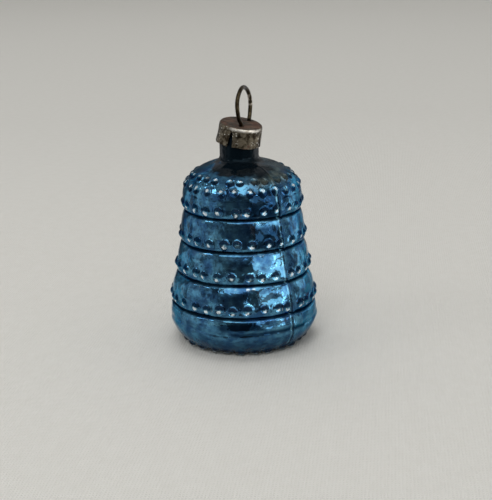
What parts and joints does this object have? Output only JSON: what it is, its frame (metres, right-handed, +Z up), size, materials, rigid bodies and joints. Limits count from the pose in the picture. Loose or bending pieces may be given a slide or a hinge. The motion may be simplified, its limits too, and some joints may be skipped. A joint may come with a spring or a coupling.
{
  "type": "bell ornament",
  "caption": "Blown glass bell-shaped tree ornament with beaded tiers, a clawed tin cap that turns on its neck, and a wire hanging loop that pulls up.",
  "frame": {"origin": "on the ground under the bell's own axis, at the middle of its ring foot", "axes": "+Z up through the neck and the loop, +Y along the plane of the hanging loop, +X through the loop"},
  "size_m": [0.0394, 0.0394, 0.0679],
  "materials": {
    "lacquered_glass": "silvered inside, translucent blue lacquer outside, glossy",
    "silvering": "mirror film",
    "tinplate": "tarnished, with rust",
    "wire": "tarnished spring wire"
  },
  "bodies": {
    "bell": {"glass_bell": "lacquered_glass", "silver_lining": "silvering"},
    "cap": {"cap": "tinplate"},
    "hanger": {"hanger_wire": "wire"}
  },
  "joints": [
    {"name": "cap_turn", "type": "hinge", "parent": "bell", "child": "cap", "pos_m": [-0.00056, -0.00021, 0.052], "axis": [0, 0, 1], "continuous": true},
    {"name": "hanger_pull", "type": "slide", "parent": "cap", "child": "hanger", "axis": [0, 0, 1], "range_m": [0, 0.003]}
  ]
}
